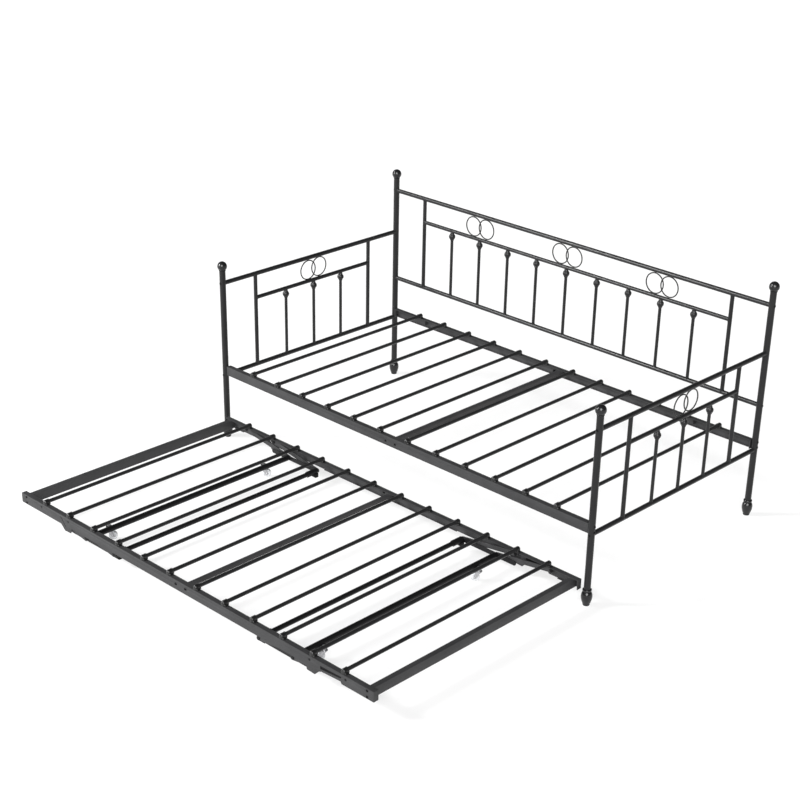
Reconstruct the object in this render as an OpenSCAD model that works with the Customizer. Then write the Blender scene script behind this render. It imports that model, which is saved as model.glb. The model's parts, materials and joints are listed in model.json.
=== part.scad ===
// Steel daybed with a pull-out, pop-up trundle.
// Units: mm. +Z up, +X along the beds' length, front (trundle side) at -Y.
// Origin: centre of the whole footprint on the floor, trundle rolled out and lowered.

/* [Daybed frame] */
// Distance between the left and right post centres
post_span = 1945; // [1600:1:2200]
// Distance between the front and back post centres
post_depth = 997; // [800:1:1500]
// Post tube radius
post_r = 12.7; // [9:0.1:20]
// Height of the front finial ball centre
front_ball_z = 753; // [600:1:900]
// Height of the back finial ball centre
back_ball_z = 941; // [750:1:1200]
// Finial ball radius
finial_r = 20; // [14:0.5:30]
// Height of the turned foot below the post tube
foot_h = 66; // [40:1:90]
// Largest radius of the turned foot
foot_r = 20.8; // [14:0.1:28]
// Wall of every round tube
tube_wall = 1.5; // [1:0.1:2.5]

/* [Panels] */
// Radius of the panels' outer rails
rail_r = 9; // [7:0.5:12]
// Radius of the mid rails and inner uprights
mid_r = 8; // [6:0.5:10]
// Spindle radius
spindle_r = 6.4; // [4:0.1:8]
// Spindle ball radius
ball_r = 14; // [9:0.5:18]
// Height of the arms' top rail
arm_top_z = 681; // [500:1:800]
// Height of the arms' bottom rail
arm_low_z = 282; // [200:1:340]
// Height of the back's top rail
back_top_z = 868; // [700:1:1100]
// Height of the back's lower rail
back_low_z = 467; // [380:1:560]
// Outer diameter of one ring
ring_od = 87; // [60:1:110]
// Thickness of the ring wire
ring_wire = 5; // [3:0.5:8]
// Distance between the two rings of a pair
ring_step = 67; // [45:1:80]
// Distance from a panel's centre to the back's inner uprights
back_upright_x = 799; // [600:1:900]
// Spindle pitch
spindle_pitch = 158.6; // [120:0.1:200]
// Distance from a panel's centre to an arm's inner uprights
arm_upright_y = 325; // [250:1:400]

/* [Side rails and slats] */
// Height of the daybed side rails' top flange
bed_rail_z = 322; // [250:1:400]
// Height of a side rail
side_rail_h = 38; // [28:1:50]
// Width of the side rails' top flange
flange_w = 21; // [15:1:30]
// Sheet thickness of the side rails
sheet = 2; // [1.5:0.1:3]
// Slat tube radius
slat_r = 7; // [5:0.5:10]
// Slat pitch
slat_pitch = 146.7; // [100:0.1:180]

/* [Trundle deck] */
// Deck length
deck_len = 1900; // [1600:1:1910]
// Deck width
deck_wid = 1022.5; // [850:0.5:1040]
// Height of the deck's top flange when lowered
deck_z = 105; // [90:1:130]
// How far the deck sits to the right of the daybed's centre
deck_shift = 6; // [0:0.5:6]
// Gap from the front posts' centre plane to the rolled-out deck
pull_gap = 15.5; // [15:0.5:60]
// How far the end rails stand in from the ends of the side rails
end_inset = 20; // [10:1:30]

/* [Pop-up legs] */
// Distance from the deck centre to the outer link pivots
pivot_out = 823; // [780:1:850]
// Distance between the outer and inner link pivots
pivot_step = 168; // [140:1:200]
// Horizontal reach of a folded link
fold_reach = 259; // [200:1:280]
// Drop of a folded link
fold_drop = 38; // [30:1:60]
// Height of the outer deck pivots when lowered
pivot_z = 91; // [85:1:95]
// Width of the flat links
link_w = 18; // [14:1:22]
// Thickness of the links and coupler bars
link_t = 4; // [3:0.5:6]
// Radius of the link pivot pins
pin_r = 5; // [4:0.5:6]
// Caster bar radius
caster_bar_r = 11; // [9:0.5:13]
// Tie bar radius
tie_bar_r = 9; // [7:0.5:11]
// Distance of the casters in from the deck's long edges
caster_in = 130; // [80:1:200]
// Caster wheel radius
wheel_r = 16.5; // [14:0.5:19]
// Caster trail, from swivel axis to wheel axle
caster_trail = 14; // [8:0.5:16]
// Angle that the casters have swivelled to
caster_turn = 43; // [-180:1:180]

/* [Hidden] */
head_h = 2;
ball_cut = 17;
gap = 0.05;
run = 0.06;
xp = post_span / 2;
yf = (pull_gap + deck_wid + head_h + gap - post_depth - foot_r) / 2;
yb = yf + post_depth;
ym = (yf + yb) / 2;
y_far = yf - pull_gap;
y_near = y_far - deck_wid;
y_deck = (y_far + y_near) / 2;
ring_r = (ring_od - ring_wire) / 2;
arm_mid_z = arm_top_z - rail_r - ring_od - mid_r;
back_mid_z = back_top_z - rail_r - ring_od - mid_r;
arm_ball_z = arm_mid_z - mid_r - 3 - ball_r;
back_ball2_z = back_mid_z - mid_r - 3 - ball_r;
in_pivot = pivot_out - pivot_step;
low_out = pivot_out - fold_reach;
low_in = in_pivot - fold_reach;
low_z = pivot_z - fold_drop;
y_link = 8.2;
y_cpl = y_link + link_t + 0.6;
y_bar = y_cpl + link_t;
swivel_x = low_out + 22;
head_r = 5.2;
slat_up = slat_r + 1.5;
cap_r = 9.5;
bolt_r = 3;
slat_xs = [for (i = [0:11]) (i - 5.5) * slat_pitch];
bed_bolt_dz = [-7, -29];

black = [0.09, 0.09, 0.10];
plastic = [0.05, 0.05, 0.055];
zinc = [0.20, 0.20, 0.21];
clear_grey = [0.80, 0.81, 0.82];

// ---------- shared shapes ----------

// Round tube along X from x0 to x1
module tube_x(x0, x1, y, z, r, wall = tube_wall) {
    translate([x0, y, z]) rotate([0, 90, 0]) difference() {
        cylinder(h = x1 - x0, r = r, $fn = 32);
        translate([0, 0, -1]) cylinder(h = x1 - x0 + 2, r = r - wall, $fn = 32);
    }
}

// Round tube along Y from y0 to y1
module tube_y(x, y0, y1, z, r, wall = tube_wall) {
    translate([x, y0, z]) rotate([-90, 0, 0]) difference() {
        cylinder(h = y1 - y0, r = r, $fn = 32);
        translate([0, 0, -1]) cylinder(h = y1 - y0 + 2, r = r - wall, $fn = 32);
    }
}

// Round tube along Z from z0 to z1
module tube_z(x, y, z0, z1, r, wall = tube_wall) {
    translate([x, y, z0]) difference() {
        cylinder(h = z1 - z0, r = r, $fn = 32);
        translate([0, 0, -1]) cylinder(h = z1 - z0 + 2, r = r - wall, $fn = 32);
    }
}

module rod_x(x0, x1, y, z, r) {
    translate([x0, y, z]) rotate([0, 90, 0]) cylinder(h = x1 - x0, r = r, $fn = 32);
}

module rod_y(x, y0, y1, z, r) {
    translate([x, y0, z]) rotate([-90, 0, 0]) cylinder(h = y1 - y0, r = r, $fn = 32);
}

module rod_z(x, y, z0, z1, r) {
    translate([x, y, z0]) cylinder(h = z1 - z0, r = r, $fn = 32);
}

// Rail along X between two posts: coped ends, with a plug that takes the bolt
module post_rail_x(y, z, r) {
    difference() {
        union() {
            tube_x(-xp, xp, y, z, r);
            rod_x(-xp, -xp + 34, y, z, r - 1);
            rod_x(xp - 34, xp, y, z, r - 1);
        }
        for (s = [-1, 1]) rod_z(s * xp, y, z - 30, z + 30, post_r + gap);
        rod_x(-xp, -xp + 40, y, z, bolt_r + gap);
        rod_x(xp - 40, xp, y, z, bolt_r + gap);
    }
}

// Rail along Y between two posts
module post_rail_y(x, z, r) {
    difference() {
        union() {
            tube_y(x, yf, yb, z, r);
            rod_y(x, yf, yf + 34, z, r - 1);
            rod_y(x, yb - 34, yb, z, r - 1);
        }
        for (y = [yf, yb]) rod_z(x, y, z - 30, z + 30, post_r + gap);
        rod_y(x, yf, yf + 40, z, bolt_r + gap);
        rod_y(x, yb - 40, yb, z, bolt_r + gap);
    }
}

// Bolt along +X from x: domed head at x, shank towards +X (s = 1) or -X (s = -1)
module bolt_x(x, y, z, len, s) {
    translate([x, y, z]) rotate([0, s * 90, 0]) bolt(len);
}

module bolt_y(x, y, z, len, s) {
    translate([x, y, z]) rotate([-s * 90, 0, 0]) bolt(len);
}

// Head below z = 0, shank above
module bolt(len) {
    difference() {
        union() {
            cylinder(h = len, r = bolt_r, $fn = 24);
            translate([0, 0, -head_h]) cylinder(h = head_h, r1 = head_r - 1.4, r2 = head_r, $fn = 24);
        }
        translate([0, 0, -head_h - 1]) cylinder(h = 2, r = 2, $fn = 6);
    }
}

// One post tube with its bolt holes. s: -1 left, 1 right. Back posts also take the back panel
module post(s, y, top, is_back) {
    x = s * xp;
    difference() {
        tube_z(x, y, foot_h, top, post_r);
        for (z = [arm_low_z, arm_top_z]) rod_y(x, y - 20, y + 20, z, bolt_r + gap);
        for (dz = bed_bolt_dz) rod_x(x - 20, x + 20, y, bed_rail_z + dz, bolt_r + gap);
        if (is_back)
            for (z = [back_low_z, back_top_z]) rod_x(x - 20, x + 20, y, z, bolt_r + gap);
    }
}

// Pair of rings in the XZ plane, side by side and crossing, one just behind the other
module ring_pair() {
    for (s = [-1, 1]) translate([s * ring_step / 2, s * (ring_wire / 2 + 0.05), 0])
        rotate([90, 0, 0]) rotate_extrude($fn = 48)
            translate([ring_r, 0]) circle(r = ring_wire / 2, $fn = 16);
}

// Spindle with its ball, coped onto the rails above and below
module spindle(low_z, low_r, up_z, up_r, bz) {
    difference() {
        union() {
            cylinder(h = up_z - low_z, r = spindle_r, $fn = 24);
            translate([0, 0, bz - low_z]) sphere(r = ball_r, $fn = 32);
        }
        translate([0, 0, -1]) cylinder(h = up_z - low_z + 2, r = spindle_r - 1.2, $fn = 24);
        rotate([0, 90, 0]) cylinder(h = 60, r = low_r + gap, center = true, $fn = 32);
        translate([0, 0, up_z - low_z]) rotate([0, 90, 0])
            cylinder(h = 60, r = up_r + gap, center = true, $fn = 32);
    }
}

// Side rail section: web at y = 0, top flange towards +y. Local z = 0 is the flange top
module rail_section(x0, x1) {
    translate([x0, 0, -side_rail_h]) cube([x1 - x0, sheet, side_rail_h]);
    translate([x0, 0, -sheet]) cube([x1 - x0, flange_w, sheet]);
}

module rail_lip(x0, x1) {
    translate([x0, 0, -side_rail_h]) cube([x1 - x0, 8, sheet]);
}

// Slats between two long rails. y0, y1: outer faces of the rails; zt: flange top
module slat_set(dx, y0, y1, zt) {
    for (x = slat_xs) tube_y(dx + x, y0 + 6, y1 - 6, zt + slat_up, slat_r, 1.2);
}

// End cap on the flange; local y = 0 is the rail's outer face
module slat_cap() {
    difference() {
        union() {
            translate([0, 1, slat_up]) rotate([-90, 0, 0]) cylinder(h = 3, r1 = 7.5, r2 = cap_r, $fn = 32);
            translate([0, 4, slat_up]) rotate([-90, 0, 0]) cylinder(h = 18, r = cap_r, $fn = 32);
            translate([0, 22, slat_up]) rotate([-90, 0, 0]) cylinder(h = 2.5, r1 = cap_r, r2 = 9, $fn = 32);
            plate_xz(4, 17, [[-14, 0], [-14, 3], [-cap_r, slat_up], [cap_r, slat_up], [14, 3], [14, 0]]);
            translate([0, 12, -4]) cylinder(h = 4.5, r = 4, $fn = 24);
        }
        difference() {
            translate([-20, 0, -20]) cube([40, 30, 20]);
            translate([0, 12, -21]) cylinder(h = 30, r = 4, $fn = 24);
        }
        translate([0, 6 - gap, slat_up]) rotate([-90, 0, 0])
            cylinder(h = 30, r = slat_r + gap, $fn = 32);
    }
}

module cap_set(dx, y0, y1, zt) {
    for (x = slat_xs) {
        translate([dx + x, y0, zt]) slat_cap();
        translate([dx + x, y1, zt]) mirror([0, 1, 0]) slat_cap();
    }
}

module cap_holes() {
    for (x = slat_xs) translate([x, 12, -10]) cylinder(h = 20, r = 4 + gap, $fn = 24);
}

// ---------- daybed ----------

module post_front_left() { color(black) post(-1, yf, front_ball_z - ball_cut, false); }
module post_front_right() { color(black) post(1, yf, front_ball_z - ball_cut, false); }
module post_back_left() { color(black) post(-1, yb, back_ball_z - ball_cut, true); }
module post_back_right() { color(black) post(1, yb, back_ball_z - ball_cut, true); }

module finial(x, y, z) {
    translate([x, y, z]) {
        difference() {
            sphere(r = finial_r, $fn = 40);
            translate([-30, -30, -30 - ball_cut]) cube([60, 60, 30]);
        }
        translate([0, 0, -20 - ball_cut]) cylinder(h = 22, r = post_r - tube_wall - gap, $fn = 32);
    }
}

module finials() {
    color(black) for (s = [-1, 1]) {
        finial(s * xp, yf, front_ball_z);
        finial(s * xp, yb, back_ball_z);
    }
}

module foot(x, y) {
    k = foot_r / 20.8;
    translate([x, y, 0]) rotate_extrude($fn = 40)
        polygon([[0, 0], [11.5, 0], [13 * k, 2], [13.8 * k, 8], [17 * k, 17], [19.7 * k, 26],
                 [20.8 * k, 36], [20.2 * k, 45], [17.6 * k, 52], [14.6 * k, 55.5], [14.6 * k, 56.5],
                 [17 * k, 58], [17 * k, foot_h - 2], [15 * k, foot_h], [post_r - tube_wall - gap, foot_h],
                 [post_r - tube_wall - gap, foot_h + 24], [0, foot_h + 24]]);
}

module feet() {
    color(black) for (s = [-1, 1]) {
        foot(s * xp, yf);
        foot(s * xp, yb);
    }
}

module arm_uprights(x) {
    for (s = [-1, 1]) difference() {
        tube_z(x, ym + s * arm_upright_y, arm_low_z, arm_top_z, mid_r);
        rod_y(x, yf, yb, arm_low_z, rail_r + gap);
        rod_y(x, yf, yb, arm_top_z, rail_r + gap);
    }
}

module arm_mid(x) {
    difference() {
        tube_y(x, ym - arm_upright_y, ym + arm_upright_y, arm_mid_z, mid_r);
        for (s = [-1, 1])
            rod_z(x, ym + s * arm_upright_y, arm_mid_z - 30, arm_mid_z + 30, mid_r + gap);
    }
}

module arm_spindles(x) {
    for (i = [-1:1]) translate([x, ym + i * spindle_pitch, arm_low_z]) rotate([0, 0, 90])
        spindle(arm_low_z, rail_r, arm_mid_z, mid_r, arm_ball_z);
}

module arm_rings(x) {
    translate([x, ym, arm_top_z - rail_r - ring_od / 2]) rotate([0, 0, 90]) ring_pair();
}

module arm_left_top_rail() { color(black) post_rail_y(-xp, arm_top_z, rail_r); }
module arm_left_bottom_rail() { color(black) post_rail_y(-xp, arm_low_z, rail_r); }
module arm_left_mid_rail() { color(black) arm_mid(-xp); }
module arm_left_uprights() { color(black) arm_uprights(-xp); }
module arm_left_spindles() { color(black) arm_spindles(-xp); }
module arm_left_rings() { color(black) arm_rings(-xp); }
module arm_right_top_rail() { color(black) post_rail_y(xp, arm_top_z, rail_r); }
module arm_right_bottom_rail() { color(black) post_rail_y(xp, arm_low_z, rail_r); }
module arm_right_mid_rail() { color(black) arm_mid(xp); }
module arm_right_uprights() { color(black) arm_uprights(xp); }
module arm_right_spindles() { color(black) arm_spindles(xp); }
module arm_right_rings() { color(black) arm_rings(xp); }

module back_top_rail() { color(black) post_rail_x(yb, back_top_z, rail_r); }
module back_low_rail() { color(black) post_rail_x(yb, back_low_z, rail_r); }

module back_mid_rail() {
    color(black) difference() {
        tube_x(-back_upright_x, back_upright_x, yb, back_mid_z, mid_r);
        for (s = [-1, 1])
            rod_z(s * back_upright_x, yb, back_mid_z - 30, back_mid_z + 30, mid_r + gap);
    }
}

module back_uprights() {
    color(black) for (s = [-1, 1]) difference() {
        tube_z(s * back_upright_x, yb, back_low_z, back_top_z, mid_r);
        rod_x(-xp, xp, yb, back_low_z, rail_r + gap);
        rod_x(-xp, xp, yb, back_top_z, rail_r + gap);
    }
}

module back_spindles() {
    color(black) for (i = [-4:4]) translate([i * spindle_pitch, yb, back_low_z])
        spindle(back_low_z, rail_r, back_mid_z, mid_r, back_ball2_z);
}

module back_rings() {
    color(black) for (i = [-3, 0, 3])
        translate([i * spindle_pitch, yb, back_top_z - rail_r - ring_od / 2]) ring_pair();
}

// Daybed side rail in local axes: y = 0 outer face, z = 0 flange top
module bed_side_rail() {
    e = xp - post_r - 0.3;
    difference() {
        union() {
            rail_section(-e + 3, e - 3);
            rail_lip(-e + 3, e - 3);
            for (s = [-1, 1]) translate([s * (e - 1.5) - 1.5, 0, -side_rail_h])
                cube([3, flange_w - 2, side_rail_h]);
            // thin stiffening plates between web and flange
            for (x = [-772, 690]) translate([x, 0, -25]) cube([2, flange_w - 2, 25]);
        }
        cap_holes();
        for (x = [-30, 20]) rod_y(x, -5, 10, -21, bolt_r + gap);
        for (s = [-1, 1], dz = bed_bolt_dz) rod_x(s * e - 20, s * e + 20, 5, dz, bolt_r + gap);
    }
}

module bed_rail_front() { color(black) translate([0, yf - 5, bed_rail_z]) bed_side_rail(); }
module bed_rail_back() {
    color(black) translate([0, yb + 5, bed_rail_z]) mirror([0, 1, 0]) bed_side_rail();
}
module bed_slats() { color(black) slat_set(0, yf - 5, yb + 5, bed_rail_z); }
module bed_slat_caps() { color(plastic) cap_set(0, yf - 5, yb + 5, bed_rail_z); }

// Angle-section cross member with a bolting plate at each end
module bed_centre_support() {
    z = bed_rail_z - sheet;
    color(black) difference() {
        union() {
            translate([2, yf - 3, z - 2]) cube([22, post_depth + 6, 2]);
            translate([22, yf - 3, z - 20]) cube([2, post_depth + 6, 20]);
            for (y = [yf - 3, yb + 1]) translate([-42, y, z - 28]) cube([74, 2, 28]);
        }
        for (x = [-30, 20]) rod_y(x, yf - 30, yb + 30, bed_rail_z - 21, bolt_r + gap);
    }
}

module bed_bolts() {
    color(zinc) {
        for (s = [-1, 1]) {
            for (y = [yf, yb], dz = bed_bolt_dz)
                bolt_x(s * (xp + post_r + 0.1), y, bed_rail_z + dz, 30, -s);
            for (z = [arm_low_z, arm_top_z]) {
                bolt_y(s * xp, yf - post_r - 0.1, z, 42, 1);
                bolt_y(s * xp, yb + post_r + 0.1, z, 42, -1);
            }
            for (z = [back_low_z, back_top_z])
                bolt_x(s * (xp + post_r + 0.1), yb, z, 42, -s);
        }
        for (x = [-30, 20]) {
            bolt_y(x, yf - 5 - gap, bed_rail_z - 21, 10, 1);
            bolt_y(x, yb + 5 + gap, bed_rail_z - 21, 10, -1);
        }
    }
}

// ---------- trundle deck ----------

// Place a near-side shape, local y = 0 at the near rail's outer face
module near() { translate([deck_shift, y_near, 0]) children(); }
module far() { translate([deck_shift, y_far, 0]) mirror([0, 1, 0]) children(); }
module both_sides() {
    near() children();
    far() children();
}
module both_ends() {
    children();
    mirror([1, 0, 0]) children();
}

// Outline drawn in the XZ plane, y0 to y0 + t
module plate_xz(y0, t, pts) {
    translate([0, y0 + t, 0]) rotate([90, 0, 0]) linear_extrude(height = t) polygon(pts);
}

module deck_rail() {
    zb = deck_z - side_rail_h;
    difference() {
        union() {
            translate([0, 0, deck_z]) rail_section(-deck_len / 2, deck_len / 2);
            translate([0, 0, deck_z]) rail_lip(-deck_len / 2 + 44, -pivot_out - 26);
            translate([0, 0, deck_z]) rail_lip(pivot_out + 26, deck_len / 2 - 44);
            translate([0, 0, deck_z]) rail_lip(-low_in + 36, low_in - 36);
            // closing plates at the rail's ends
            both_ends() translate([deck_len / 2 - sheet, 0, zb]) cube([sheet, flange_w, side_rail_h]);
            both_ends() plate_xz(0, sheet,
                [[638, zb + 1], [642, 48], [680, 46], [700, zb - 1], [706, zb + 1]]);
        }
        translate([0, 0, deck_z]) cap_holes();
        both_ends() {
            for (x = [pivot_out, in_pivot]) rod_y(x, -1, 10, pivot_z, pin_r + gap);
            for (z = [deck_z - 8.5, deck_z - 31.5])
                rod_y(deck_len / 2 - end_inset - 10, -1, 10, z, bolt_r + gap);
        }
        for (x = [-26, 26]) rod_y(x, -1, 10, deck_z - 16, bolt_r + gap);
        // slit beside the left ear
        plate_xz(-1, 4, [[-704, 97], [-699, 97], [-670, 64], [-675, 64]]);
        // slot and raised lower edge beside the right ear
        plate_xz(-1, 4, [[706, zb + 11], [706, zb + 23], [804, zb + 26], [800, zb + 19]]);
        plate_xz(-1, 4, [[706, zb - 3], [706, zb + 3], [800, zb + 8], [806, zb - 3]]);
    }
}

module deck_rail_front() { color(black) near() deck_rail(); }
module deck_rail_back() { color(black) far() deck_rail(); }

// Backing strips behind the slots of the two rails
module deck_slot_guards() {
    zb = deck_z - side_rail_h;
    color(plastic) both_sides() plate_xz(sheet + gap, 1.5,
        [[698, zb + 8], [698, zb + 28], [808, zb + 30], [808, zb + 15]]);
}

// End rail: closed rectangular tube with end plates that take the corner bolts
module deck_end(s) {
    x = deck_len / 2 - end_inset - 20;
    y0 = sheet + gap;
    len = deck_wid - 2 * y0;
    z0 = deck_z - side_rail_h;
    h = side_rail_h - sheet - gap;
    translate([deck_shift, y_near, 0]) mirror([s < 0 ? 1 : 0, 0, 0]) difference() {
        translate([x, y0, z0]) cube([20, len, h]);
        translate([x + 1.5, y0 + 4, z0 + 1.5]) cube([17, len - 8, h - 3]);
        for (z = [deck_z - 8.5, deck_z - 31.5]) {
            rod_y(x + 10, -1, 12, z, bolt_r + gap);
            rod_y(x + 10, deck_wid - 12, deck_wid + 1, z, bolt_r + gap);
        }
    }
}

module deck_end_left() { color(black) deck_end(-1); }
module deck_end_right() { color(black) deck_end(1); }
module deck_slats() { color(black) slat_set(deck_shift, y_near, y_far, deck_z); }
module deck_slat_caps() { color(plastic) cap_set(deck_shift, y_near, y_far, deck_z); }

module deck_centre_support() {
    z = deck_z - sheet - gap;
    y0 = sheet + gap;
    color(black) translate([deck_shift, y_near, 0]) difference() {
        union() {
            translate([12, y0, z - 12]) cube([18, deck_wid - 2 * y0, 12]);
            for (y = [y0, deck_wid - y0 - 2]) translate([-38, y, z - 26]) cube([76, 2, 26]);
        }
        translate([13.5, y0 + 4, z - 10.5]) cube([15, deck_wid - 2 * y0 - 8, 9]);
        for (x = [-26, 26]) {
            rod_y(x, -1, 16, deck_z - 16, bolt_r + gap);
            rod_y(x, deck_wid - 16, deck_wid + 1, deck_z - 16, bolt_r + gap);
        }
    }
}

module deck_bolts() {
    color(zinc) both_sides() {
        both_ends() for (z = [deck_z - 8.5, deck_z - 31.5])
            bolt_y(deck_len / 2 - end_inset - 10, -gap, z, 14, 1);
        for (x = [-26, 26]) bolt_y(x, -gap, deck_z - 16, 7, 1);
    }
}

// Rivets fixed to the deck rails; the links turn on them
module deck_pivot_pins() {
    color(zinc) both_sides() both_ends() for (x = [pivot_out, in_pivot]) {
        rod_y(x, 0, y_link + link_t + 0.45, pivot_z, pin_r);
        rod_y(x, sheet + gap, y_link - 0.4, pivot_z, pin_r + 3);
        rod_y(x, y_link + link_t + 0.4, y_link + link_t + 2.4, pivot_z, pin_r + 2);
    }
}

// ---------- pop-up legs; s = -1 left set, 1 right set ----------

// Flat link between (xa, za) and (xb, zb), with holes of radius ra and rb
module link(xa, za, xb, zb, ra, rb) {
    len = norm([xa - xb, za - zb]);
    nx = (za - zb) / len * link_w / 2;
    nz = (xa - xb) / len * link_w / 2;
    difference() {
        union() {
            rod_y(xa, y_link, y_link + link_t, za, link_w / 2);
            rod_y(xb, y_link, y_link + link_t, zb, link_w / 2);
            plate_xz(y_link, link_t, [[xa - nx, za + nz], [xb - nx, zb + nz],
                                      [xb + nx, zb - nz], [xa + nx, za - nz]]);
        }
        rod_y(xa, y_link - 1, y_link + link_t + 1, za, ra);
        rod_y(xb, y_link - 1, y_link + link_t + 1, zb, rb);
    }
}

module outer_links(s) {
    both_sides() mirror([s < 0 ? 1 : 0, 0, 0])
        link(pivot_out, pivot_z, low_out, low_z, pin_r + run, pin_r + run);
}

// The inner link's lower hole is the loop's open pivot
module inner_links(s) {
    both_sides() mirror([s < 0 ? 1 : 0, 0, 0])
        link(in_pivot, pivot_z, low_in, low_z, pin_r + run, pin_r + 0.4);
}

// Coupler bars, with the pins the links turn on
module couplers(s) {
    both_sides() mirror([s < 0 ? 1 : 0, 0, 0]) {
        rod_y(low_in, y_cpl, y_cpl + link_t, low_z, 9);
        rod_y(low_out + 88, y_cpl, y_cpl + link_t, low_z, 9);
        translate([low_in, y_cpl, low_z - 9]) cube([low_out + 88 - low_in, link_t, 18]);
        for (x = [low_in, low_out]) {
            rod_y(x, y_link - 0.4, y_cpl + 0.5, low_z, pin_r);
            rod_y(x, y_link - 2.2, y_link - 0.4, low_z, pin_r + 2);
        }
    }
}

module caster_bar(s) {
    x = deck_shift + s * low_out;
    difference() {
        union() {
            tube_y(x, y_near + y_bar, y_far - y_bar, low_z, caster_bar_r);
            for (y = [y_near + caster_in, y_far - caster_in])
                translate([deck_shift, y, low_z - 2]) mirror([s < 0 ? 1 : 0, 0, 0]) {
                    translate([low_out, -11, 0]) cube([swivel_x - low_out, 22, 4]);
                    translate([swivel_x, 0, 0]) cylinder(h = 4, r = 11, $fn = 32);
                }
        }
        rod_y(x, y_near, y_far, low_z, caster_bar_r - tube_wall);
        for (y = [y_near + caster_in, y_far - caster_in])
            rod_z(deck_shift + s * swivel_x, y, low_z - 5, low_z + 5, 4 + run);
    }
}

module tie_bar(s) {
    x = deck_shift + s * low_in;
    tube_y(x, y_near + y_bar, y_far - y_bar, low_z, tie_bar_r);
    // sleeve collars at both ends
    for (y = [y_near + y_bar + 2, y_far - y_bar - 50]) difference() {
        rod_y(x, y, y + 48, low_z, tie_bar_r + 3);
        rod_y(x, y - 1, y + 49, low_z, tie_bar_r - 0.5);
    }
}

// Moulded bumper feet that the folded linkage rests on
module bumpers(s) {
    both_sides() mirror([s < 0 ? 1 : 0, 0, 0])
        difference() {
            translate([low_in - 17, y_bar + 3, low_z - 20]) cube([34, 16, 18]);
            rod_y(low_in, y_bar, y_bar + 30, low_z, tie_bar_r + 3 + gap);
        }
}

module leg_left_outer_links() { color(black) outer_links(-1); }
module leg_left_inner_links() { color(black) inner_links(-1); }
module leg_left_couplers() { color(black) couplers(-1); }
module leg_left_caster_bar() { color(black) caster_bar(-1); }
module leg_left_tie_bar() { color(black) tie_bar(-1); }
module leg_right_outer_links() { color(black) outer_links(1); }
module leg_right_inner_links() { color(black) inner_links(1); }
module leg_right_couplers() { color(black) couplers(1); }
module leg_right_caster_bar() { color(black) caster_bar(1); }
module leg_right_tie_bar() { color(black) tie_bar(1); }
module leg_bumpers_left() { color(plastic) bumpers(-1); }
module leg_bumpers_right() { color(plastic) bumpers(1); }

// ---------- casters ----------

// Place a caster: local origin on its swivel axis at floor level, wheel trailing to -x before the turn
module caster_at(s, f) {
    y = f ? y_near + caster_in : y_far - caster_in;
    translate([deck_shift + s * swivel_x, y, 0]) rotate([0, 0, caster_turn])
        mirror([s < 0 ? 1 : 0, 0, 0]) children();
}

module fork() {
    zt = low_z - 12;
    difference() {
        union() {
            translate([0, 0, zt - 4]) cylinder(h = 4, r = 12, $fn = 32);
            translate([0, 0, zt]) cylinder(h = low_z + 5 - zt, r = 4, $fn = 24);
            translate([0, 0, zt]) cylinder(h = 9.6, r = 6.5, $fn = 24);
            translate([0, 0, low_z + 2.4]) cylinder(h = 2.6, r = 6, $fn = 24);
            for (sy = [-1, 1]) {
                rod_y(-caster_trail, sy * 10 - 1.25, sy * 10 + 1.25, wheel_r, 6);
                plate_xz(sy * 10 - 1.25, 2.5, [[-caster_trail - 5.6, wheel_r + 2], [-6.5, zt - 1],
                                              [6.5, zt - 1], [-caster_trail + 3, wheel_r - 5.2]]);
            }
        }
        translate([-caster_trail, -20, wheel_r]) rotate([-90, 0, 0])
            cylinder(h = 40, r = 2.5 + run, $fn = 24);
    }
}

module wheel() {
    translate([-caster_trail, 0, wheel_r]) rotate([-90, 0, 0]) {
        translate([0, 0, -8]) cylinder(h = 16, r = wheel_r - 1.2, $fn = 40);
        translate([0, 0, -6.5]) cylinder(h = 13, r = wheel_r, $fn = 40);
        translate([0, 0, -13]) cylinder(h = 26, r = 2.5, $fn = 24);
    }
}

module fork_left_front() { color(zinc) caster_at(-1, true) fork(); }
module fork_left_back() { color(zinc) caster_at(-1, false) fork(); }
module fork_right_front() { color(zinc) caster_at(1, true) fork(); }
module fork_right_back() { color(zinc) caster_at(1, false) fork(); }
module wheel_left_front() { color(clear_grey) caster_at(-1, true) wheel(); }
module wheel_left_back() { color(clear_grey) caster_at(-1, false) wheel(); }
module wheel_right_front() { color(clear_grey) caster_at(1, true) wheel(); }
module wheel_right_back() { color(clear_grey) caster_at(1, false) wheel(); }

post_front_left();
post_front_right();
post_back_left();
post_back_right();
finials();
feet();
arm_left_top_rail();
arm_left_bottom_rail();
arm_left_mid_rail();
arm_left_uprights();
arm_left_spindles();
arm_left_rings();
arm_right_top_rail();
arm_right_bottom_rail();
arm_right_mid_rail();
arm_right_uprights();
arm_right_spindles();
arm_right_rings();
back_top_rail();
back_low_rail();
back_mid_rail();
back_uprights();
back_spindles();
back_rings();
bed_rail_front();
bed_rail_back();
bed_slats();
bed_slat_caps();
bed_centre_support();
bed_bolts();
deck_rail_front();
deck_rail_back();
deck_end_left();
deck_end_right();
deck_slats();
deck_slat_caps();
deck_centre_support();
deck_bolts();
deck_pivot_pins();
deck_slot_guards();
leg_left_outer_links();
leg_left_inner_links();
leg_left_couplers();
leg_left_caster_bar();
leg_left_tie_bar();
leg_bumpers_left();
leg_right_outer_links();
leg_right_inner_links();
leg_right_couplers();
leg_right_caster_bar();
leg_right_tie_bar();
leg_bumpers_right();
fork_left_front();
fork_left_back();
fork_right_front();
fork_right_back();
wheel_left_front();
wheel_left_back();
wheel_right_front();
wheel_right_back();
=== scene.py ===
"""Looks of a black steel daybed with a pop-up trundle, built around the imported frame."""
import json
import math
import random

import bmesh
import bpy
from mathutils import Matrix, Vector


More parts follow.
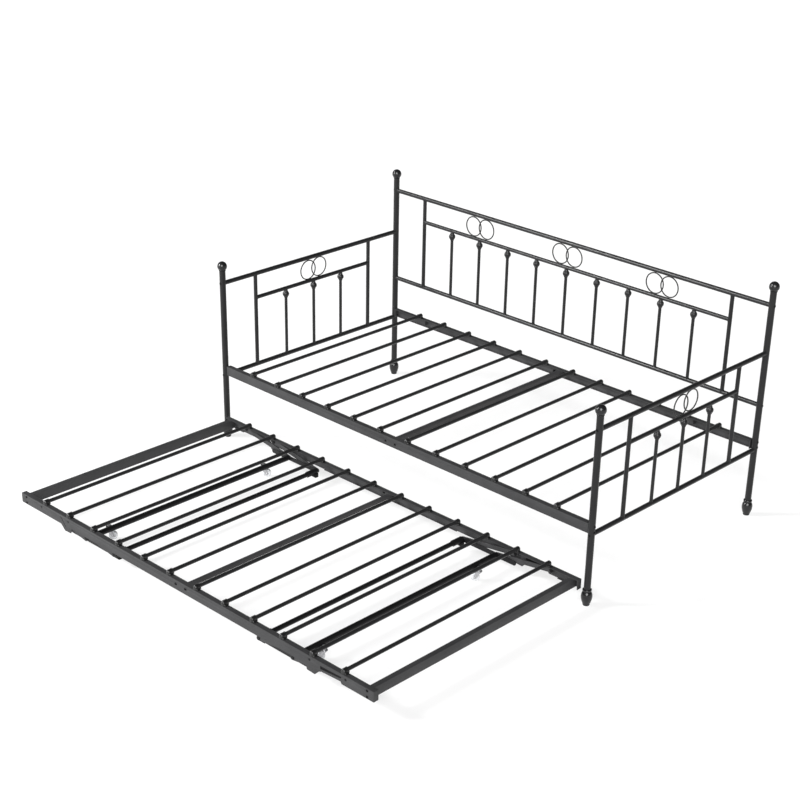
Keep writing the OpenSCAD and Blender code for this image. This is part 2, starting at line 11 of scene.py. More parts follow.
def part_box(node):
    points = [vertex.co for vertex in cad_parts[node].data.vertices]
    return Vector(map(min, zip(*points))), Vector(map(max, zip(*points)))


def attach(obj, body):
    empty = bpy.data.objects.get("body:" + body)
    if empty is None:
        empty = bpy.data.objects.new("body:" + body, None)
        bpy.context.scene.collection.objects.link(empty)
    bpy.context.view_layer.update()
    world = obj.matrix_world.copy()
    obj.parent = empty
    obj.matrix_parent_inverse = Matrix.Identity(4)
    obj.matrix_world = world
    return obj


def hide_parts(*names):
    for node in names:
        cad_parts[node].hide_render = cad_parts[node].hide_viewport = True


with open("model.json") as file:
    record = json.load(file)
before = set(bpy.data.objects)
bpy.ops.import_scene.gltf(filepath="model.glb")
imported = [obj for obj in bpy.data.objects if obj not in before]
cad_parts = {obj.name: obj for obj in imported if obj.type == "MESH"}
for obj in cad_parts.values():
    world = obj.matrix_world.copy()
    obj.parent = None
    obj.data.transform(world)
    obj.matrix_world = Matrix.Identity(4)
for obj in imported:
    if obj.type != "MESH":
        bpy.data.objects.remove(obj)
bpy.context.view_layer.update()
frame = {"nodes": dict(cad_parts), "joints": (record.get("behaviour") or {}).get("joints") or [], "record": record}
nodes = frame["nodes"]
slot_of = {s["node"]: s["material_slot"] for s in frame["record"]["subparts"]}
MM = 0.001
TAU = 2 * math.pi
X_AXIS, Y_AXIS, Z_AXIS = Vector((1, 0, 0)), Vector((0, 1, 0)), Vector((0, 0, 1))


# ---------- camera, floor and light ----------

FLOOR_SIZE, FLOOR_DROP = 1000, 0.0004
AIM_AZIMUTH = math.radians(42.81)
AIM_ELEVATION = math.radians(27.50)
AIM_ROLL = math.radians(1.60)
CAMERA_AT = Vector((4.0433, -4.1067, 3.0124))
LENS_MM = 75.37
SHIFT_X, SHIFT_Y = -0.0427, 0.1397


def direction_to(azimuth, elevation):
    """Unit vector towards a place, in radians; azimuth 0 is -Y, the front, and turns to +X."""
    return Vector((math.sin(azimuth) * math.cos(elevation), -math.cos(azimuth) * math.cos(elevation),
                   math.sin(elevation)))


def make_camera():
    data = bpy.data.cameras.new("camera")
    data.lens, data.sensor_width = LENS_MM, 36
    data.shift_x, data.shift_y = SHIFT_X, SHIFT_Y
    data.clip_start, data.clip_end = 0.1, 2000
    camera = bpy.data.objects.new("camera", data)
    back = direction_to(AIM_AZIMUTH, AIM_ELEVATION)
    level = Vector((math.cos(AIM_AZIMUTH), math.sin(AIM_AZIMUTH), 0))
    upright = back.cross(level)
    right = level * math.cos(AIM_ROLL) + upright * math.sin(AIM_ROLL)
    up = upright * math.cos(AIM_ROLL) - level * math.sin(AIM_ROLL)
    turn = Matrix((right, up, back)).transposed().to_4x4()
    camera.matrix_world = Matrix.Translation(CAMERA_AT) @ turn
    bpy.context.scene.collection.objects.link(camera)
    bpy.context.scene.camera = camera


def make_floor():
    """Pale, faintly glowing floor, wide enough to reach the horizon."""
    bpy.ops.mesh.primitive_plane_add(size=FLOOR_SIZE, location=(0, 0, -FLOOR_DROP))
    floor = bpy.context.object
    floor.name = "floor"
    mat = bpy.data.materials.new("floor_white")
    mat.use_nodes = True
    shader = mat.node_tree.nodes["Principled BSDF"]
    shader.inputs["Base Color"].default_value = (0.28, 0.28, 0.28, 1)
    shader.inputs["Roughness"].default_value = 0.9
    shader.inputs["Emission Color"].default_value = (1, 1, 1, 1)
    shader.inputs["Emission Strength"].default_value = 0.7
    shader.inputs["Specular IOR Level"].default_value = 0.1
    floor.data.materials.append(mat)


def sun(name, azimuth, elevation, spread_angle, strength):
    """Even light from far away; a wide angle makes it as soft as a large window."""
    data = bpy.data.lights.new(name, "SUN")
    data.angle, data.energy = math.radians(spread_angle), strength
    lamp = bpy.data.objects.new(name, data)
    source = direction_to(math.radians(azimuth), math.radians(elevation))
    lamp.rotation_euler = (-source).to_track_quat("-Z", "Y").to_euler()
    bpy.context.scene.collection.objects.link(lamp)


def softbox(name, at, target, size, watts):
    """A nearby panel, so the left end is lit more than the right."""
    data = bpy.data.lights.new(name, "AREA")
    data.shape, data.size, data.energy = "DISK", size, watts
    lamp = bpy.data.objects.new(name, data)
    lamp.rotation_euler = (Vector(target) - Vector(at)).to_track_quat("-Z", "Y").to_euler()
    lamp.location = at
    bpy.context.scene.collection.objects.link(lamp)


def make_lights():
    """A pale room, darker overhead and behind: a soft low key from the front right, a narrow
    window light from the front left, and a softbox by the left end."""
    world = bpy.data.worlds.new("studio")
    bpy.context.scene.world = world
    world.use_nodes = True
    tree = world.node_tree
    direction = tree.nodes.new("ShaderNodeTexCoord")
    parts = tree.nodes.new("ShaderNodeSeparateXYZ")
    tree.links.new(direction.outputs["Generated"], parts.inputs[0])
    front = spread(tree, parts.outputs["Y"], 0.5, 0.15, -0.6, 0.2)
    overhead = spread(tree, parts.outputs["Z"], 1.0, 0.45, 0.3, 0.9)
    both = tree.nodes.new("ShaderNodeMath")
    both.operation = "MULTIPLY"
    tree.links.new(front, both.inputs[0])
    tree.links.new(overhead, both.inputs[1])
    tree.links.new(both.outputs[0], tree.nodes["Background"].inputs["Color"])
    tree.nodes["Background"].inputs["Strength"].default_value = 1.0
    sun("key", azimuth=39, elevation=30, spread_angle=40, strength=4.0)
    sun("window", azimuth=-43, elevation=34, spread_angle=9, strength=2.4)
    softbox("left", at=(-2.6, -3.0, 1.9), target=(-0.6, -0.4, 0.3), size=1.1, watts=120)
    bpy.context.scene.view_settings.view_transform = "Standard"


# ---------- materials ----------

def new_material(name):
    mat = bpy.data.materials.new(name)
    mat.use_nodes = True
    tree = mat.node_tree
    return mat, tree, tree.nodes["Principled BSDF"]


def noise(tree, scale, detail=3.0, rough=0.5):
    """Noise texture on the object's own coordinates."""
    coords = tree.nodes.new("ShaderNodeTexCoord")
    texture = tree.nodes.new("ShaderNodeTexNoise")
    texture.inputs["Scale"].default_value = scale
    texture.inputs["Detail"].default_value = detail
    texture.inputs["Roughness"].default_value = rough
    tree.links.new(coords.outputs["Object"], texture.inputs["Vector"])
    return texture.outputs["Fac"]


def spread(tree, value, low, high, lowest=0.3, highest=0.7):
    """Maps lowest..highest of a texture to low..high."""
    remap = tree.nodes.new("ShaderNodeMapRange")
    remap.inputs["From Min"].default_value = lowest
    remap.inputs["From Max"].default_value = highest
    remap.inputs["To Min"].default_value = low
    remap.inputs["To Max"].default_value = high
    tree.links.new(value, remap.inputs["Value"])
    return remap.outputs["Result"]


def mix_colours(tree, factor, first, second):
    """Blends two colours; sockets 6 and 7 are the Mix node's colour inputs, 2 its colour output."""
    mix = tree.nodes.new("ShaderNodeMix")
    mix.data_type = "RGBA"
    mix.inputs[6].default_value = (*first, 1)
    mix.inputs[7].default_value = (*second, 1)
    tree.links.new(factor, mix.inputs[0])
    return mix.outputs[2]


def bump(tree, height, strength, distance, shader):
    node = tree.nodes.new("ShaderNodeBump")
    node.inputs["Strength"].default_value = strength
    node.inputs["Distance"].default_value = distance
    tree.links.new(height, node.inputs["Height"])
    tree.links.new(node.outputs["Normal"], shader.inputs["Normal"])


def powder_coat(name, shade, rough, grain, depth, specular):
    """Black powder coat: fine orange peel, slow changes of shade and small ones of gloss."""
    mat, tree, shader = new_material(name)
    slow = noise(tree, 9)
    darker = tuple(c * 0.82 for c in shade)
    lighter = tuple(c * 1.2 for c in shade)
    tree.links.new(mix_colours(tree, spread(tree, slow, 0, 1), darker, lighter),
                   shader.inputs["Base Color"])
    tree.links.new(spread(tree, noise(tree, 240), rough - 0.05, rough + 0.06),
                   shader.inputs["Roughness"])
    shader.inputs["Specular IOR Level"].default_value = specular
    bump(tree, noise(tree, grain, 2), depth, 0.00012, shader)
    return mat


def moulded_plastic(name, shade, rough, specular=0.5):
    mat, tree, shader = new_material(name)
    shader.inputs["Specular IOR Level"].default_value = specular
    lighter = tuple(c * 1.5 + 0.002 for c in shade)
    tree.links.new(mix_colours(tree, spread(tree, noise(tree, 60), 0, 1), shade, lighter),
                   shader.inputs["Base Color"])
    tree.links.new(spread(tree, noise(tree, 500), rough - 0.06, rough + 0.06),
                   shader.inputs["Roughness"])
    bump(tree, noise(tree, 2600, 1), 0.25, 0.00006, shader)
    return mat


def milky_plastic(name):
    mat, tree, shader = new_material(name)
    tree.links.new(mix_colours(tree, spread(tree, noise(tree, 90), 0, 1),
                               (0.72, 0.73, 0.75), (0.86, 0.87, 0.88)),
                   shader.inputs["Base Color"])
    shader.inputs["Transmission Weight"].default_value = 0.35
    shader.inputs["IOR"].default_value = 1.45
    tree.links.new(spread(tree, noise(tree, 300), 0.18, 0.3), shader.inputs["Roughness"])
    bump(tree, noise(tree, 700, 2), 0.15, 0.0001, shader)
    return mat


def dark_steel(name, shade, rough):
    mat, tree, shader = new_material(name)
    shader.inputs["Metallic"].default_value = 0.85
    lighter = tuple(c * 1.6 for c in shade)
    tree.links.new(mix_colours(tree, spread(tree, noise(tree, 300, 4), 0, 1), shade, lighter),
                   shader.inputs["Base Color"])
    tree.links.new(spread(tree, noise(tree, 900), rough - 0.08, rough + 0.1),
                   shader.inputs["Roughness"])
    bump(tree, noise(tree, 1800, 2), 0.2, 0.00008, shader)
    return mat


def make_materials():
    return {
        # One black powder coat in lit and shaded copies: rail_paint is lighter, and tube_paint and slat_paint are
        # darker, each set to how bright that kind of part looks in its light. These shades are painted light and
        # shade.
        "tube_paint": powder_coat("tube_paint", (0.011, 0.011, 0.0115), 0.31, 1400, 0.4, 0.24),
        "casting_paint": powder_coat("casting_paint", (0.007, 0.007, 0.0075), 0.2, 500, 0.25, 0.4),
        "rail_paint": powder_coat("rail_paint", (0.024, 0.024, 0.025), 0.5, 1400, 0.5, 0.35),
        "slat_paint": powder_coat("slat_paint", (0.014, 0.014, 0.0145), 0.32, 1400, 0.4, 0.26),
        # leg_paint is the same black coat made much darker than the rest. It is painted shade, so the couplers
        # under the deck rails look shaded.
        "leg_paint": powder_coat("leg_paint", (0.006, 0.006, 0.0065), 0.42, 1400, 0.4, 0.2),
        "cap_plastic": moulded_plastic("cap_plastic", (0.004, 0.004, 0.0042), 0.34),
        # bumper_plastic is near black with little gloss. Besides the real bumpers, it colours the guard strip
        # behind the deck rail's slot. That strip is a dark sheet of painted shade where the slot would show shaded
        # parts behind it.
        "bumper_plastic": moulded_plastic("bumper_plastic", (0.002, 0.002, 0.0021), 0.5, 0.1),
        "fixings": dark_steel("fixings", (0.004, 0.004, 0.0044), 0.35),
        "caster_fork": dark_steel("caster_fork", (0.34, 0.34, 0.35), 0.28),
        "caster_wheel": milky_plastic("caster_wheel"),
    }


def dress_nodes(materials):
    """Gives every CAD node its material and smooth shading with sharp edges kept."""
    for name, obj in nodes.items():
        obj.data.materials.clear()
        obj.data.materials.append(materials[slot_of[name]])
        obj.data.shade_smooth()
        obj.data.set_sharp_from_angle(angle=math.radians(35))


# ---------- mesh building ----------

class Shape:
    """Collects the vertices and faces of one piece."""

    def __init__(self):
        self.verts, self.faces = [], []

    def add(self, part, place=None):
        verts, faces = part
        base = len(self.verts)
        place = place or Matrix.Identity(4)
        self.verts += [place @ Vector(v) for v in verts]
        self.faces += [[base + i for i in face] for face in faces]

    def build(self, name, body, slot, replaces=(), sharp=38):
        mesh = bpy.data.meshes.new(name)
        mesh.from_pydata(self.verts, [], self.faces)
        mesh.validate()
        work = bmesh.new()
        work.from_mesh(mesh)
        bmesh.ops.remove_doubles(work, verts=work.verts, dist=1e-6)
        bmesh.ops.recalc_face_normals(work, faces=work.faces)
        work.to_mesh(mesh)
        work.free()
        mesh.shade_smooth()
        mesh.set_sharp_from_angle(angle=math.radians(sharp))
        mesh.materials.append(materials[slot])
        obj = bpy.data.objects.new(name, mesh)
        bpy.context.scene.collection.objects.link(obj)
        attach(obj, body)
        if replaces:
            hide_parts(*replaces)
        return obj


def loft(rings, closed=True, cap_first=False, cap_last=False, looped=False):
    """Skin over rings of points with equal counts. looped joins the last ring to the first."""
    n = len(rings[0])
    verts = [p for ring in rings for p in ring]
    faces = []
    for i in range(len(rings) if looped else len(rings) - 1):
        a, b = i * n, (i + 1) % len(rings) * n
        for j in range(n if closed else n - 1):
            k = (j + 1) % n
            faces.append([a + j, a + k, b + k, b + j])
    if cap_first:
        faces.append(list(range(n))[::-1])
    if cap_last:
        faces.append([(len(rings) - 1) * n + j for j in range(n)])
    return verts, faces


def circle(radius, z, sides=32):
    return [(radius * math.cos(TAU * j / sides), radius * math.sin(TAU * j / sides), z)
            for j in range(sides)]


def lathe(profile, sides=32):
    """Turned shape about Z from (radius, height) points, closed at both ends."""
    return loft([circle(max(r, 1e-5), z, sides) for r, z in profile], cap_first=True, cap_last=True)


def smooth_profile(points, steps=5):
    """Catmull-Rom curve through (radius, height) points."""
    out = []
    padded = [points[0], *points, points[-1]]
    for a, b, c, d in zip(padded, padded[1:], padded[2:], padded[3:]):
        for k in range(steps):
            t = k / steps
            out.append(tuple(
                0.5 * (2 * b[i] + (c[i] - a[i]) * t + (2 * a[i] - 5 * b[i] + 4 * c[i] - d[i]) * t * t
                       + (3 * b[i] - a[i] - 3 * c[i] + d[i]) * t ** 3) for i in (0, 1)))
    return out + [points[-1]]


def facing(at, direction):
    """Places a shape built along +Z at a point, pointing along a direction."""
    return Matrix.Translation(at) @ Vector(direction).to_track_quat("Z", "Y").to_matrix().to_4x4()


def islands(node):
    """The separate solids of a CAD node, each as its list of corner points."""
    mesh = nodes[node].data
    key_of, parent = {}, []

    def root(i):
        while parent[i] != i:
            parent[i] = parent[parent[i]]
            i = parent[i]
        return i

    index = []
    for v in mesh.vertices:
        key = tuple(round(c, 6) for c in v.co)
        if key not in key_of:
            key_of[key] = len(parent)
            parent.append(len(parent))
        index.append(key_of[key])
    for edge in mesh.edges:
        a, b = (root(index[i]) for i in edge.vertices)
        parent[a] = b
    groups = {}
    for key, i in key_of.items():
        groups.setdefault(root(i), []).append(Vector(key))
    return sorted(groups.values(), key=lambda pts: tuple(round(c, 4) for c in box_of(pts)[0]))


def box_of(points):
    low = Vector(min(p[i] for p in points) for i in range(3))
    high = Vector(max(p[i] for p in points) for i in range(3))
    return low, high


def middle(node):
    low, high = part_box(node)
    return (low + high) / 2


# ---------- weld seams and tacks ----------

def weld_bead(at, axis, along, tube_r, rail_r, size=1.5 * MM):
    """Rippled bead where a tube leaves a round rail: at is where their centre lines meet."""
    side = axis.cross(along)
    phase = random.uniform(0, TAU)
    count, sides = 72, 7
    rings = []
    for i in range(count):
        t = TAU * i / count
        rise = math.sqrt(max(rail_r ** 2 - (tube_r * math.sin(t)) ** 2, 0))
        out = along * math.cos(t) + side * math.sin(t)
        centre = at + out * tube_r + axis * rise
        r = size * (1 + 0.16 * math.sin(18 * t + phase) + 0.08 * math.sin(5 * t + 2 * phase))
        rings.append([centre + (out * math.cos(a) + axis * math.sin(a)) * r
                      for a in (TAU * k / sides for k in range(sides))])
    return loft(rings, looped=True)


def tack(at, size):
    """Small uneven blob of weld."""
    rings = []
    for i in range(1, 8):
        polar = math.pi * i / 8
        r = math.sin(polar)
        rings.append([(size[0] * r * math.cos(TAU * j / 12) * random.uniform(0.93, 1.07),
                       size[1] * r * math.sin(TAU * j / 12) * random.uniform(0.93, 1.07),
                       size[2] * math.cos(polar)) for j in range(12)])
    verts, faces = loft(rings, cap_first=True, cap_last=True)
    return [Vector(v) + at for v in verts], faces


def ball_height(points):
    """Height of a spindle's ball, from its widest stretch."""
    low, high = box_of(points)
    x, y = (low.x + high.x) / 2, (low.y + high.y) / 2
    wide = [p.z for p in points if math.hypot(p.x - x, p.y - y) > 10 * MM]
    return (min(wide) + max(wide)) / 2


SPINDLE_R = 6.4 * MM
THIN_BEAD = 1.3 * MM
# Turned profiles, (radius, height) in mm from the ball's centre
BALL_COLLAR = [(6.2, -16.2), (7.4, -16.0), (8.3, -15.2), (8.5, -14.2), (8.1, -13.2), (9.0, -11.6),
               (8.0, -10.8), (5.0, -10.8)]
TOP_COLLAR = [(5.0, 10.6), (9.2, 10.8), (8.4, 12.4), (8.7, 13.6), (8.4, 15.0), (7.6, 16.2), (5.0, 16.4)]
POST_COLLAR = [(9.0, -19.2), (13.1, -19.2), (13.9, -18.6), (14.0, -17.2), (13.2, -16.2), (12.2, -15.6),
               (12.4, -14.6), (9.0, -14.6)]


def in_metres(profile):
    return [(r * MM, z * MM) for r, z in profile]


def panel(name, along, top, low, mid, uprights, spindles, rings):
    """Weld seams and ball collars of one panel, whose rails run along an axis."""
    seams, collars = Shape(), Shape()
    half = {n: (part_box(n)[1].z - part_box(n)[0].z) / 2 for n in (top, low, mid)}
    z_of = {n: middle(n).z for n in (top, low, mid)}
    for points in islands(uprights):
        corner_low, corner_high = box_of(points)
        at = (corner_low + corner_high) / 2
        upright_r = (corner_high - corner_low)[0 if along is Y_AXIS else 1] / 2
        for rail, axis in ((low, Z_AXIS), (top, -Z_AXIS)):
            foot = Vector((at.x, at.y, z_of[rail]))
            seams.add(weld_bead(foot, axis, along, upright_r, half[rail]))
        inward = along if (middle(mid) - at).dot(along) > 0 else -along
        meet = Vector((at.x, at.y, z_of[mid]))
        seams.add(weld_bead(meet, inward, Z_AXIS, half[mid], upright_r))
    for points in islands(spindles):
        corner_low, corner_high = box_of(points)
        at = (corner_low + corner_high) / 2
        centre = Vector((at.x, at.y, ball_height(points)))
        for rail, axis in ((low, Z_AXIS), (mid, -Z_AXIS)):
            foot = Vector((at.x, at.y, z_of[rail]))
            seams.add(weld_bead(foot, axis, along, SPINDLE_R, half[rail], THIN_BEAD))
        collars.add(lathe(in_metres(BALL_COLLAR), 28), Matrix.Translation(centre))
        collars.add(lathe(in_metres(TOP_COLLAR), 28), Matrix.Translation(centre))
    for points in islands(rings):
        ring_low, ring_high = box_of(points)
        at = (ring_low + ring_high) / 2
        for z in (ring_low.z + 0.3 * MM, ring_high.z - 0.3 * MM):
            size = (3.6 * MM, 2.6 * MM, 1.8 * MM) if along is X_AXIS else (2.6 * MM, 3.6 * MM, 1.8 * MM)
            seams.add(tack(Vector((at.x, at.y, z)), size))
    seams.build(name + "_weld_seams", "daybed", "tube_paint", sharp=80)
    collars.build(name + "_ball_collars", "daybed", "casting_paint")


def panels():
    for side in ("left", "right"):
        arm = f"arm_{side}"
        panel(arm, Y_AXIS, f"{arm}_top_rail", f"{arm}_bottom_rail", f"{arm}_mid_rail",
              f"{arm}_uprights", f"{arm}_spindles", f"{arm}_rings")
    panel("back", X_AXIS, "back_top_rail", "back_low_rail", "back_mid_rail",
          "back_uprights", "back_spindles", "back_rings")


# ---------- posts: finial collars and turned feet ----------

# Turned profile, (radius, height above the floor) in mm
FOOT = [(0.0, 0.2), (9.0, 0.0), (11.8, 0.5), (12.9, 2.4), (13.2, 5.0), (12.9, 7.6), (14.4, 9.4),
        (15.2, 10.4), (16.2, 13.8), (18.2, 20.0), (20.0, 27.5), (20.7, 35.5), (20.2, 43.5),
        (18.4, 49.6), (16.0, 53.6), (14.4, 55.4), (14.3, 56.6), (15.8, 57.3), (16.8, 59.0),
        (17.0, 61.5), (16.6, 64.2), (15.4, 65.7), (13.4, 66.4), (11.2, 66.4)]


def posts():
    feet, collars = Shape(), Shape()
    for points in islands("feet"):
        low, high = box_of(points)
        at = Vector(((low.x + high.x) / 2, (low.y + high.y) / 2, low.z))
        feet.add(lathe(in_metres(smooth_profile(FOOT, 4)), 48), Matrix.Translation(at))
    feet.build("turned_feet", "daybed", "casting_paint", ("feet",), sharp=60)
    for points in islands("finials"):
        low, high = box_of(points)
        ball_z = high.z - (high.x - low.x) / 2
        at = Vector(((low.x + high.x) / 2, (low.y + high.y) / 2, ball_z))
        collars.add(lathe(in_metres(POST_COLLAR), 40), Matrix.Translation(at))
    collars.build("finial_collars", "daybed", "casting_paint")


# ---------- bolts ----------

HEAD_H = 2 * MM
BOLT_R = 3 * MM
THREAD_PITCH = 1 * MM
NUT_FLAT = 5 * MM
NUT_H = 2.6 * MM
NUT_TOP = -4.3 * MM
SHORT_SHANK = 12 * MM
HEX_SIDES = 36


def hexagon(flat, z, corner=math.inf):
    """Ring of a hexagon of half width flat across its flats, with its corners cut at a radius."""
    points = []
    for j in range(HEX_SIDES):
        angle = TAU * j / HEX_SIDES
        edge = flat / math.cos((angle + math.pi / 6) % (math.pi / 3) - math.pi / 6)
        radius = min(edge, corner)
        points.append((radius * math.cos(angle), radius * math.sin(angle), z))
    return points


def button_head(radius, height):
    """Domed socket head on z = 0, pointing to +Z, with a hexagonal recess."""
    rings = [circle(radius * k, height * h, HEX_SIDES)
             for k, h in ((0.2, 0), (0.97, 0), (1.0, 0.08), (1.0, 0.2), (0.93, 0.45), (0.8, 0.72),
                          (0.63, 0.92), (0.5, 1.0))]
    flat = radius * 0.36
    rings += [hexagon(flat * wide, height * h) for wide, h in ((1.06, 1.0), (1.0, 0.94), (1.0, 0.25))]
    return loft(rings, cap_first=True, cap_last=True)


def hex_nut(flat, height, bore):
    """Chamfered nut standing on z = 0."""
    corner = flat * 1.155
    rings = [hexagon(flat, height * h, corner * chamfer)
             for h, chamfer in ((0.0, 0.93), (0.12, 1.0), (0.88, 1.0), (1.0, 0.93))]
    rings.append(circle(bore, height, HEX_SIDES))
    rings.append(circle(bore, 0, HEX_SIDES))
    return loft(rings, looped=True)


def threaded_end(radius, z0, z1, pitch):
    """Shank with turned ridges for its thread."""
    profile = [(radius * 0.6, z0)]
    z = z0
    while z < z1 - pitch:
        profile += [(radius * 0.9, z), (radius, z + pitch / 2)]
        z += pitch
    profile += [(radius * 0.9, z), (radius * 0.7, z1)]
    return lathe(profile, 20)


def bolts(node, body, name):
    """Socket-head bolts in place of a node's plain ones, with a nut where the shank comes out short."""
    shape = Shape()
    for points in islands(node):
        low, high = box_of(points)
        size = high - low
        axis_i = max(range(3), key=lambda i: size[i])
        centre = (low + high) / 2
        axis = Vector((0, 0, 0))
        axis[axis_i] = 1
        head_r = max(size[i] for i in range(3) if i != axis_i) / 2
        wide = [p[axis_i] for p in points
                if (p - centre - axis * (p - centre)[axis_i]).length > 0.9 * head_r]
        outward = 1 if sum(wide) / len(wide) > centre[axis_i] else -1
        seat = centre.copy()
        seat[axis_i] = (high if outward > 0 else low)[axis_i] - outward * HEAD_H
        place = facing(seat, axis * outward)
        shape.add(button_head(head_r, HEAD_H), place)
        length = size[axis_i] - HEAD_H
        shape.add(threaded_end(BOLT_R, -length, 0, THREAD_PITCH), place)
        if length < SHORT_SHANK:
            shape.add(hex_nut(NUT_FLAT, NUT_H, BOLT_R), place @ Matrix.Translation((0, 0, NUT_TOP - NUT_H)))
    shape.build(name, body, "fixings", (node,), sharp=30)


# ---------- slat caps ----------

CAP_R, CAP_FLOOR = 9.5 * MM, 1.5 * MM
# Along a cap: share of its length, then its radius and the half width of its foot, over CAP_R
CAP_STATIONS = [(0.0, 0.45, 0.5), (0.02, 0.62, 0.62), (0.06, 0.78, 0.78), (0.12, 0.91, 0.95),
                (0.17, 0.97, 1.25), (0.21, 0.99, 1.42), (0.26, 1.0, 1.47), (0.70, 1.0, 1.47),
                (0.76, 1.0, 1.42), (0.80, 1.0, 1.25), (0.84, 0.98, 1.02), (0.86, 1.06, 1.06),
                (0.96, 1.06, 1.06), (1.0, 1.0, 1.0)]


def cap_section(radius, centre_z, wing):
    """Half circle on sides that flare to a flat foot of half width wing, in the XZ plane."""
    points = [(radius * math.cos(math.pi * j / 18), centre_z + radius * math.sin(math.pi * j / 18))
              for j in range(19)]
    sides = [(-radius, centre_z * 0.6), (-wing + 0.1 * (wing - radius), 3.1 * MM),
             (-wing, 2.5 * MM), (-wing, 0)]
    return points + sides + [(-x, z) for x, z in sides[::-1]]


def slat_cap(length, centre_z, bore):
    """Moulded cap: rounded outer end at y = 0, flared foot, and a collar where the slat enters."""
    rings = []
    for share, k, wing in CAP_STATIONS:
        rings.append([(x, length * share, z) for x, z in cap_section(CAP_R * k, centre_z, CAP_R * wing)])
    for share, radius in ((1.0, bore + 0.5 * MM), (0.97, bore), (0.55, bore)):
        rings.append([(radius * math.cos(a), length * share, centre_z + radius * math.sin(a))
                      for a in (math.atan2(z - centre_z, x) for x, z in
                                cap_section(CAP_R, centre_z, CAP_R))])
    return loft(rings, cap_first=True, cap_last=True)


def slat_caps(node, slats, body, name):
    shape = Shape()
    slat_low, slat_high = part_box(slats)
    slat_mid = (slat_low + slat_high) / 2
    slat_z = slat_mid.z
    bore = (slat_high.z - slat_low.z) / 2
    flange_z = slat_low.z - CAP_FLOOR
    for points in islands(node):
        low, high = box_of(points)
        size = high - low
        x = (low.x + high.x) / 2
        inward = 1 if (low.y + high.y) / 2 < slat_mid.y else -1
        start = low.y if inward > 0 else high.y
        place = Matrix.Translation((x, start, flange_z))
        if inward < 0:
            place = place @ Matrix.Scale(-1, 4, Y_AXIS)
        shape.add(slat_cap(size.y, slat_z - flange_z, bore), place)
    shape.build(name, body, "cap_plastic", (node,), sharp=32)


# ---------- casters ----------

# Turned profiles, (radius, height) in mm; CUP and STUD are measured from the caster bar's centre
HALF_WHEEL = [(2.4, -8.6), (4.6, -8.6), (5.2, -8.2), (5.4, -6.8), (6.4, -6.2), (10.8, -5.8), (11.6, -6.2),
              (12.4, -7.6), (13.6, -8.0), (14.8, -7.7), (15.8, -6.8), (16.3, -5.0), (16.5, -2.5)]
WHEEL = HALF_WHEEL + [(r, -z) for r, z in HALF_WHEEL[::-1]]
CUP = [(4.2, -16.0), (11.3, -16.0), (12.0, -15.3), (12.0, -13.2), (11.3, -12.4), (9.0, -12.0), (7.2, -11.6),
       (6.5, -10.6), (6.5, -2.4), (4.2, -2.4)]
STUD = [(3.8, -15.8), (3.8, 2.2), (5.6, 2.4), (6.0, 3.0), (5.8, 4.0), (4.6, 4.8), (0.0, 5.0)]
AXLE = [(2.35, -11.2), (2.35, 11.2)]
RIVET = [(0.0, 0.0), (3.6, 0.0), (3.6, 0.4), (3.0, 1.1), (1.8, 1.6), (0.0, 1.75)]
# Section of a wheel's rib, (across, height) in mm, and where it starts and ends
RIB = [(-0.9, 5.6), (-0.6, 7.0), (0.6, 7.0), (0.9, 5.6)]
RIB_FROM, RIB_TO = 5.0, 11.8
RIBS = 8
BAR_R = 11 * MM
LEG_Y, LEG_THICK, LEG_EDGE = 8.75, 2.5, 0.35
EYE_R = 6.0


def fork_leg(trail, drop):
    """One stamped leg in the XZ plane, from the swivel plate down to the axle eye."""
    outline = [(-6.8, -13.2), (6.8, -13.2), (6.6, -16.0), (3.8, -19.0)]
    eye = (-trail, -drop)
    for k in range(13):
        a = math.radians(-60 - 150 * k / 12)
        outline.append((eye[0] + EYE_R * math.cos(a), eye[1] + EYE_R * math.sin(a)))
    outline += [(-16.2, -26.5), (-10.3, -18.5)]
    cx = sum(p[0] for p in outline) / len(outline)
    cz = sum(p[1] for p in outline) / len(outline)
    rings = []
    for y, k in ((0, 0.94), (LEG_EDGE, 1.0), (LEG_THICK - LEG_EDGE, 1.0), (LEG_THICK, 0.94)):
        rings.append([((cx + (x - cx) * k) * MM, y * MM, (cz + (z - cz) * k) * MM) for x, z in outline])
    return loft(rings, cap_first=True, cap_last=True)


def fork(corner, post, axle, bar_z):
    """Swivel plate, stud, two legs and rivets, standing as the joints say."""
    forward = Vector((post.x - axle.x, post.y - axle.y, 0))
    trail = forward.length / MM
    forward.normalize()
    across = Z_AXIS.cross(forward)
    turn = Matrix((forward, across, Z_AXIS)).transposed().to_4x4()
    place = Matrix.Translation((post.x, post.y, bar_z)) @ turn
    shape = Shape()
    shape.add(lathe(in_metres(CUP), 40), place)
    shape.add(lathe(in_metres(STUD), 28), place)
    for sign in (-1, 1):
        leg = place @ Matrix.Scale(sign, 4, Y_AXIS) @ Matrix.Translation((0, LEG_Y * MM, 0))
        shape.add(fork_leg(trail, (bar_z - axle.z) / MM), leg)
        rivet_at = axle + across * sign * (LEG_Y + LEG_THICK) * MM
        shape.add(lathe(in_metres(RIVET), 20), facing(rivet_at, across * sign))
    shape.build(f"stamped_fork_{corner}", f"caster_fork_{corner}", "caster_fork",
                (f"fork_{corner}",), sharp=32)
    return across


def rib(sign):
    """Raised rib on one side of the wheel's web, running outward along X."""
    rows = [[(r * MM, w * MM, sign * z * MM) for r in (RIB_FROM, RIB_TO)] for w, z in RIB]
    return loft(rows, closed=False)


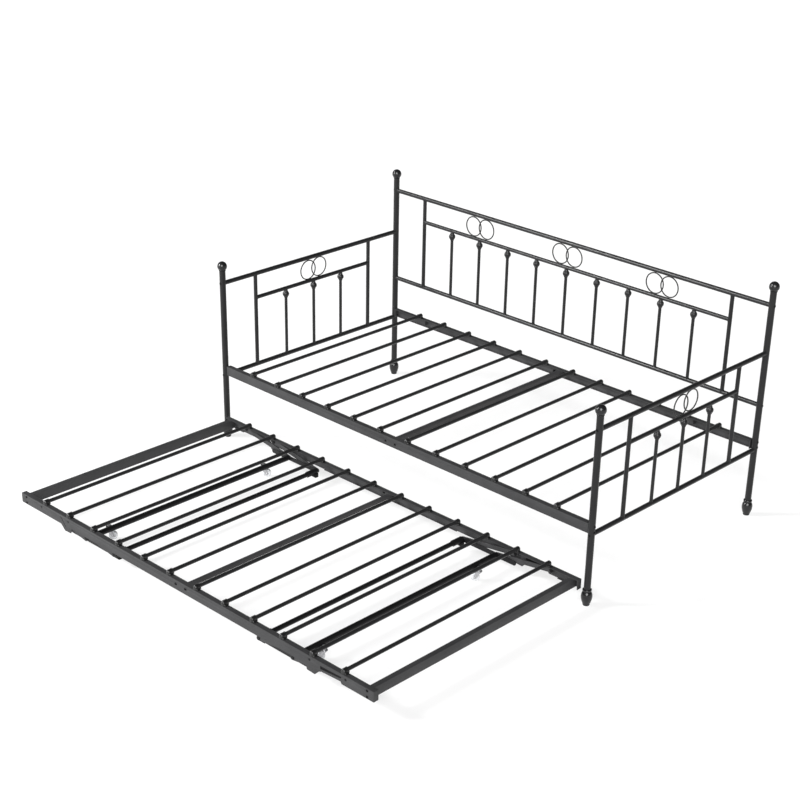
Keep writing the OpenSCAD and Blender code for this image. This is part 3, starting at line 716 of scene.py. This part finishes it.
def wheel(corner, axle, across):
    hub = facing(axle, across)
    shape = Shape()
    shape.add(lathe(in_metres(WHEEL), 56), hub)
    for k in range(RIBS):
        place = hub @ Matrix.Rotation(TAU * k / RIBS, 4, "Z")
        for sign in (-1, 1):
            shape.add(rib(sign), place)
    shape.add(lathe(in_metres(AXLE), 20), hub)
    shape.build(f"moulded_wheel_{corner}", f"caster_wheel_{corner}", "caster_wheel",
                (f"wheel_{corner}",), sharp=32)


def casters():
    joint_at = {j["name"]: Vector(j["pos_m"]) for j in frame["joints"] if j["name"].startswith("caster_")}
    for side in ("left", "right"):
        bar_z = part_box(f"leg_{side}_caster_bar")[0].z + BAR_R
        for end in ("front", "back"):
            corner = f"{side}_{end}"
            axle = joint_at[f"caster_spin_{corner}"]
            across = fork(corner, joint_at[f"caster_swivel_{corner}"], axle, bar_z)
            wheel(corner, axle, across)


# ---------- sheet-metal edges ----------

def soften(node, width):
    """Rounds a folded or sawn node's edges without touching its mesh."""
    obj = nodes[node]
    weld = obj.modifiers.new("join", "WELD")
    weld.merge_threshold = 1e-5
    flat = obj.modifiers.new("flats", "DECIMATE")
    flat.decimate_type, flat.angle_limit = "DISSOLVE", math.radians(1)
    bevel = obj.modifiers.new("rounding", "BEVEL")
    bevel.width, bevel.segments = width, 3
    bevel.limit_method, bevel.angle_limit = "ANGLE", math.radians(50)
    bevel.harden_normals = True


def soften_edges():
    for node in ("bed_rail_front", "bed_rail_back", "deck_rail_front", "deck_rail_back"):
        soften(node, 0.8 * MM)
    for node in ("deck_end_left", "deck_end_right", "deck_centre_support", "bed_centre_support"):
        soften(node, 0.9 * MM)
    for side in ("left", "right"):
        soften(f"leg_bumpers_{side}", 2.5 * MM)
        for part in ("couplers", "outer_links", "inner_links"):
            soften(f"leg_{side}_{part}", 0.6 * MM)


random.seed(7)
materials = make_materials()
make_camera()
make_floor()
make_lights()
dress_nodes(materials)
soften_edges()
panels()
posts()
bolts("bed_bolts", "daybed", "bed_socket_bolts")
bolts("deck_bolts", "trundle_deck", "deck_socket_bolts")
slat_caps("bed_slat_caps", "bed_slats", "daybed", "bed_moulded_caps")
slat_caps("deck_slat_caps", "deck_slats", "trundle_deck", "deck_moulded_caps")
casters()
